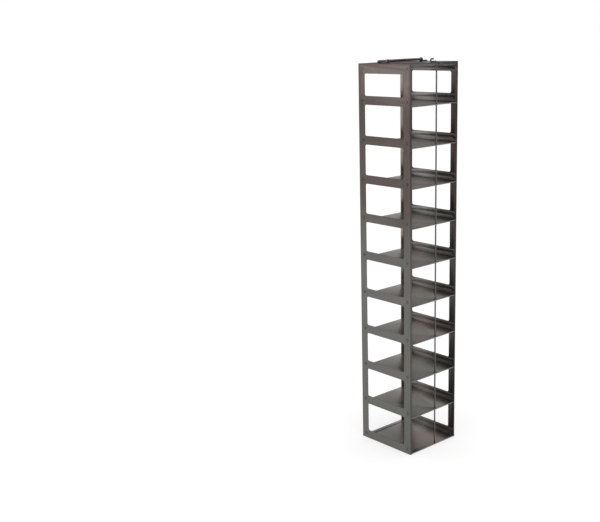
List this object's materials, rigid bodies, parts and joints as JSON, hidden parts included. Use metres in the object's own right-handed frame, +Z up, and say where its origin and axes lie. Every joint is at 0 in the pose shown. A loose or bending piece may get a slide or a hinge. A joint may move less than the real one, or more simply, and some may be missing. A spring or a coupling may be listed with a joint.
{
  "type": "freezer storage rack",
  "caption": "Tall vertical chest-freezer rack of folded stainless sheet: windowed side panels, a stack of riveted shelves, a folding bail handle and a lift-out locking rod.",
  "frame": {"origin": "centre of the footprint, on the surface that the rack stands on", "axes": "+Z up; -Y the open loading side; +X to the right when seen from the loading side"},
  "size_m": [0.144, 0.144, 0.8199],
  "materials": {
    "panel_steel": "satin stainless sheet, faint vertical grain",
    "shelf_steel": "smooth rolled stainless sheet, soft reflections",
    "top_steel": "satin stainless sheet",
    "rivet_steel": "dull stainless",
    "lug_steel": "satin stainless strip",
    "wire_steel": "drawn stainless wire, soft sheen"
  },
  "bodies": {
    "rack": {"side_panel_left": "panel_steel", "side_panel_right": "panel_steel", "top_plate": "top_steel", "base_shelf": "shelf_steel", "shelf_1": "shelf_steel", "shelf_2": "shelf_steel", "shelf_3": "shelf_steel", "shelf_4": "shelf_steel", "shelf_5": "shelf_steel", "shelf_6": "shelf_steel", "shelf_7": "shelf_steel", "shelf_8": "shelf_steel", "shelf_9": "shelf_steel", "shelf_rivets_left": "rivet_steel", "shelf_rivets_right": "rivet_steel", "handle_lug_left": "lug_steel", "handle_lug_right": "lug_steel", "lug_rivets": "rivet_steel"},
    "bail": {"bail_handle": "wire_steel"},
    "rod": {"locking_rod": "wire_steel"}
  },
  "joints": [
    {"name": "bail_swing", "type": "hinge", "parent": "rack", "child": "bail", "pos_m": [0, 0.009, 0.8153], "axis": [1, 0, 0], "range_deg": [0, 184.1]},
    {"name": "rod_lift", "type": "slide", "parent": "rack", "child": "rod", "axis": [0, 0, 1], "range_m": [0, 0.82]}
  ]
}
